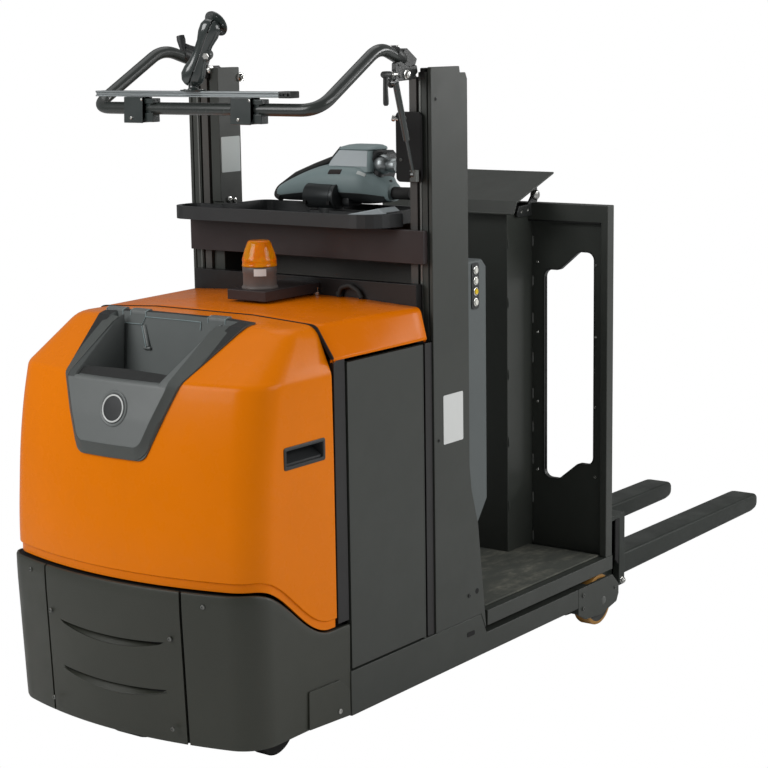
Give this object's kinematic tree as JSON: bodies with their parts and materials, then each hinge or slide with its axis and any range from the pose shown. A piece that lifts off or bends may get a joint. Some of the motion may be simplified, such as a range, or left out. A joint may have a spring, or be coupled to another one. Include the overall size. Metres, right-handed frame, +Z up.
{
  "type": "order picker truck",
  "caption": "Electric order picker truck with an orange hood, a lifting operator platform between mast and cage, and long load forks.",
  "frame": {"origin": "centre of the truck's length and width, on the floor", "axes": "+X from the motor hood towards the fork tips, +Y across the truck, +Z up"},
  "size_m": [3.08, 0.79, 1.7706],
  "materials": {
    "orange_paint": "gloss",
    "dark_grey_paint": "satin",
    "black_paint": "satin",
    "brown_black_paint": "satin",
    "grey_plastic": "matte",
    "light_grey_plastic": "matte",
    "black_plastic": "matte",
    "black_rubber": "matte",
    "amber_lens": "gloss",
    "amber_tread": "satin",
    "bare_steel": "satin",
    "cast_grey": "matte"
  },
  "bodies": {
    "chassis": {"chassis_frame": "black_paint", "battery_block": "black_plastic", "battery_lid": "orange_paint", "motor_hood": "orange_paint", "storage_bin": "grey_plastic", "skirt_front": "dark_grey_paint", "skirt_near": "dark_grey_paint", "skirt_far": "dark_grey_paint", "leg_near": "dark_grey_paint", "leg_far": "dark_grey_paint", "wheel_bracket_near": "dark_grey_paint", "wheel_bracket_far": "dark_grey_paint", "mast_post_near": "dark_grey_paint", "mast_post_far": "dark_grey_paint", "crossmember": "brown_black_paint", "beacon_bracket": "brown_black_paint", "beacon_base": "black_plastic", "beacon_lens": "amber_lens", "drive_motor": "cast_grey"},
    "door_near": {"battery_door_near": "dark_grey_paint"},
    "door_far": {"battery_door_far": "dark_grey_paint"},
    "drive_unit": {"steer_yoke": "cast_grey"},
    "drive_wheel": {"drive_wheel": "black_rubber"},
    "castor": {"castor_fork": "cast_grey"},
    "castor_wheel": {"castor_wheel": "black_rubber"},
    "load_wheel_near": {"load_wheel_near": "amber_tread"},
    "load_wheel_far": {"load_wheel_far": "amber_tread"},
    "carriage": {"carriage_frame": "black_paint", "label_post": "dark_grey_paint", "console_tray": "black_plastic", "console_base": "light_grey_plastic", "console_housing": "grey_plastic", "button_strip": "black_plastic", "platform_floor": "dark_grey_paint", "floor_mat": "black_rubber", "rear_wall": "dark_grey_paint", "centre_box": "dark_grey_paint", "desk_plate": "dark_grey_paint", "desk_bracket": "black_paint", "fork_carriage": "dark_grey_paint", "fork_near": "dark_grey_paint", "fork_far": "dark_grey_paint", "bar_yoke_near": "black_paint", "bar_yoke_far": "black_paint", "strut_plate": "black_paint"},
    "steering_console": {"steering_head": "grey_plastic", "steering_grip": "black_rubber"},
    "equipment_bar": {"equipment_bar": "dark_grey_paint", "accessory_rail": "bare_steel", "mount_arm": "black_paint"},
    "strut_tube": {"strut_tube": "black_paint"},
    "strut_rod": {"strut_rod": "bare_steel"}
  },
  "joints": [
    {"name": "lift", "type": "slide", "parent": "chassis", "child": "carriage", "axis": [0, 0, 1], "range_m": [0, 1.2]},
    {"name": "battery_door_near_hinge", "type": "hinge", "parent": "chassis", "child": "door_near", "pos_m": [-0.797, -0.389, 0.204], "axis": [0, 0, 1], "range_deg": [0, 95]},
    {"name": "battery_door_far_hinge", "type": "hinge", "parent": "chassis", "child": "door_far", "pos_m": [-0.797, 0.389, 0.204], "axis": [0, 0, -1], "range_deg": [0, 95]},
    {"name": "drive_steer", "type": "hinge", "parent": "chassis", "child": "drive_unit", "pos_m": [-1.31, 0.11, 0.3], "axis": [0, 0, 1], "range_deg": [-90, 90]},
    {"name": "drive_roll", "type": "hinge", "parent": "drive_unit", "child": "drive_wheel", "pos_m": [-1.31, 0.11, 0.115], "axis": [0, 1, 0], "continuous": true},
    {"name": "castor_swivel", "type": "hinge", "parent": "chassis", "child": "castor", "pos_m": [-1.285, -0.245, 0.3], "axis": [0, 0, 1], "continuous": true},
    {"name": "castor_roll", "type": "hinge", "parent": "castor", "child": "castor_wheel", "pos_m": [-1.24, -0.245, 0.07], "axis": [0, 1, 0], "continuous": true},
    {"name": "load_wheel_near_roll", "type": "hinge", "parent": "chassis", "child": "load_wheel_near", "pos_m": [0.11, -0.356, 0.075], "axis": [0, 1, 0], "continuous": true},
    {"name": "load_wheel_far_roll", "type": "hinge", "parent": "chassis", "child": "load_wheel_far", "pos_m": [0.11, 0.356, 0.075], "axis": [0, 1, 0], "continuous": true},
    {"name": "steering_turn", "type": "hinge", "parent": "carriage", "child": "steering_console", "pos_m": [-0.69, -0.035, 1.3], "axis": [0, 0, 1], "range_deg": [-90, 90]},
    {"name": "bar_tilt", "type": "hinge", "parent": "carriage", "child": "equipment_bar", "pos_m": [-0.76, 0, 1.628], "axis": [0, 1, 0], "range_deg": [-20, 25]},
    {"name": "strut_swing", "type": "hinge", "parent": "equipment_bar", "child": "strut_tube", "pos_m": [-0.857, -0.366, 1.598], "axis": [0, 1, 0], "range_deg": [-26, 21]},
    {"name": "strut_stroke", "type": "slide", "parent": "strut_tube", "child": "strut_rod", "axis": [0.2971, 0, -0.9549], "range_m": [-0.036, 0.045]}
  ],
  "couplings": [
    {"joint": "strut_swing", "follows": "bar_tilt", "ratio": -1},
    {"joint": "strut_stroke", "follows": "bar_tilt", "m_per_rad": 0.097}
  ]
}
